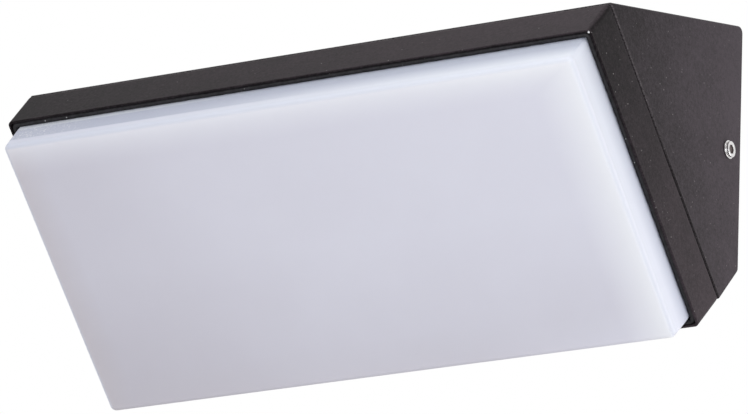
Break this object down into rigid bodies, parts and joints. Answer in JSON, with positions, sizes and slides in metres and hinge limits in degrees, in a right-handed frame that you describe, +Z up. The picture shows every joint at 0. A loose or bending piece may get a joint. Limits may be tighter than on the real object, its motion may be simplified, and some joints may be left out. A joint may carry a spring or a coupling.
{
  "type": "outdoor wall light",
  "caption": "Wedge-shaped outdoor wall light: dark cast housing and frame, opal diffuser slanting forwards and down, hidden wall bracket, socket screws in its sides.",
  "frame": {"origin": "on the wall plane, midway between the bracket's two fixing slots, level with the side screws", "axes": "+Z up, +X to the right seen from the front, -Y out from the wall"},
  "size_m": [0.2546, 0.1255, 0.1325],
  "materials": {
    "powder_coat": "fine satin powder coat over die-cast aluminium",
    "opal_diffuser": "opal satin plastic that passes light",
    "sealant": "cured silicone",
    "rubber": "matt rubber",
    "zinc_steel": "zinc-plated steel",
    "bright_steel": "bright stainless steel",
    "aluminium_plate": "mill-finish aluminium sheet",
    "heat_pad": "soft grey pad",
    "white_board": "white solder mask on aluminium",
    "led_phosphor": "white package with a yellow window",
    "white_plastic": "moulded white plastic",
    "circuit_board": "green circuit board",
    "dark_ferrite": "ferrite with tape",
    "capacitor_can": "aluminium can in a sleeve",
    "red_wire": "red insulation",
    "black_wire": "black insulation",
    "brown_wire": "brown insulation",
    "blue_wire": "blue insulation",
    "green_yellow_wire": "green and yellow insulation",
    "tinned_copper": "tinned copper",
    "brass": "plain brass"
  },
  "bodies": {
    "light": {"housing": "powder_coat", "front_frame": "powder_coat", "diffuser": "opal_diffuser", "diffuser_sealant": "sealant", "frame_gasket": "rubber", "wall_seal": "rubber", "lead_grommet": "rubber", "cable_grommet": "rubber", "wall_bracket": "zinc_steel", "ear_nuts": "zinc_steel", "frame_screws": "zinc_steel", "board_screws": "zinc_steel", "driver_screws": "zinc_steel", "terminal_screws": "zinc_steel", "terminal_fixing_screws": "zinc_steel", "gear_plate": "aluminium_plate", "thermal_pad": "heat_pad", "led_board": "white_board", "led_packages": "led_phosphor", "board_connector": "white_plastic", "terminal_block": "white_plastic", "driver_case": "white_plastic", "driver_cover": "white_plastic", "driver_board": "circuit_board", "driver_transformer": "dark_ferrite", "driver_capacitors": "capacitor_can", "output_lead_red": "red_wire", "output_lead_black": "black_wire", "live_lead": "brown_wire", "neutral_lead": "blue_wire", "earth_lead": "green_yellow_wire", "earth_lug": "tinned_copper", "terminal_contacts": "brass", "earth_screw": "brass"},
    "right_washer": {"right_screw_washer": "bright_steel"},
    "right_screw": {"right_side_screw": "bright_steel"},
    "left_washer": {"left_screw_washer": "bright_steel"},
    "left_screw": {"left_side_screw": "bright_steel"}
  },
  "joints": [
    {"name": "right_screw_out", "type": "slide", "parent": "light", "child": "right_washer", "axis": [1, 0, 0], "range_m": [0, 0.0094]},
    {"name": "right_screw_turn", "type": "hinge", "parent": "right_washer", "child": "right_screw", "pos_m": [0.1255, -0.0114, 0], "axis": [1, 0, 0], "range_deg": [0, 4835]},
    {"name": "left_screw_out", "type": "slide", "parent": "light", "child": "left_washer", "axis": [-1, 0, 0], "range_m": [0, 0.0094]},
    {"name": "left_screw_turn", "type": "hinge", "parent": "left_washer", "child": "left_screw", "pos_m": [-0.1255, -0.0114, 0], "axis": [-1, 0, 0], "range_deg": [0, 4835]}
  ],
  "couplings": [
    {"joint": "right_screw_turn", "follows": "right_screw_out", "rad_per_m": 8976},
    {"joint": "left_screw_turn", "follows": "left_screw_out", "rad_per_m": 8976}
  ]
}
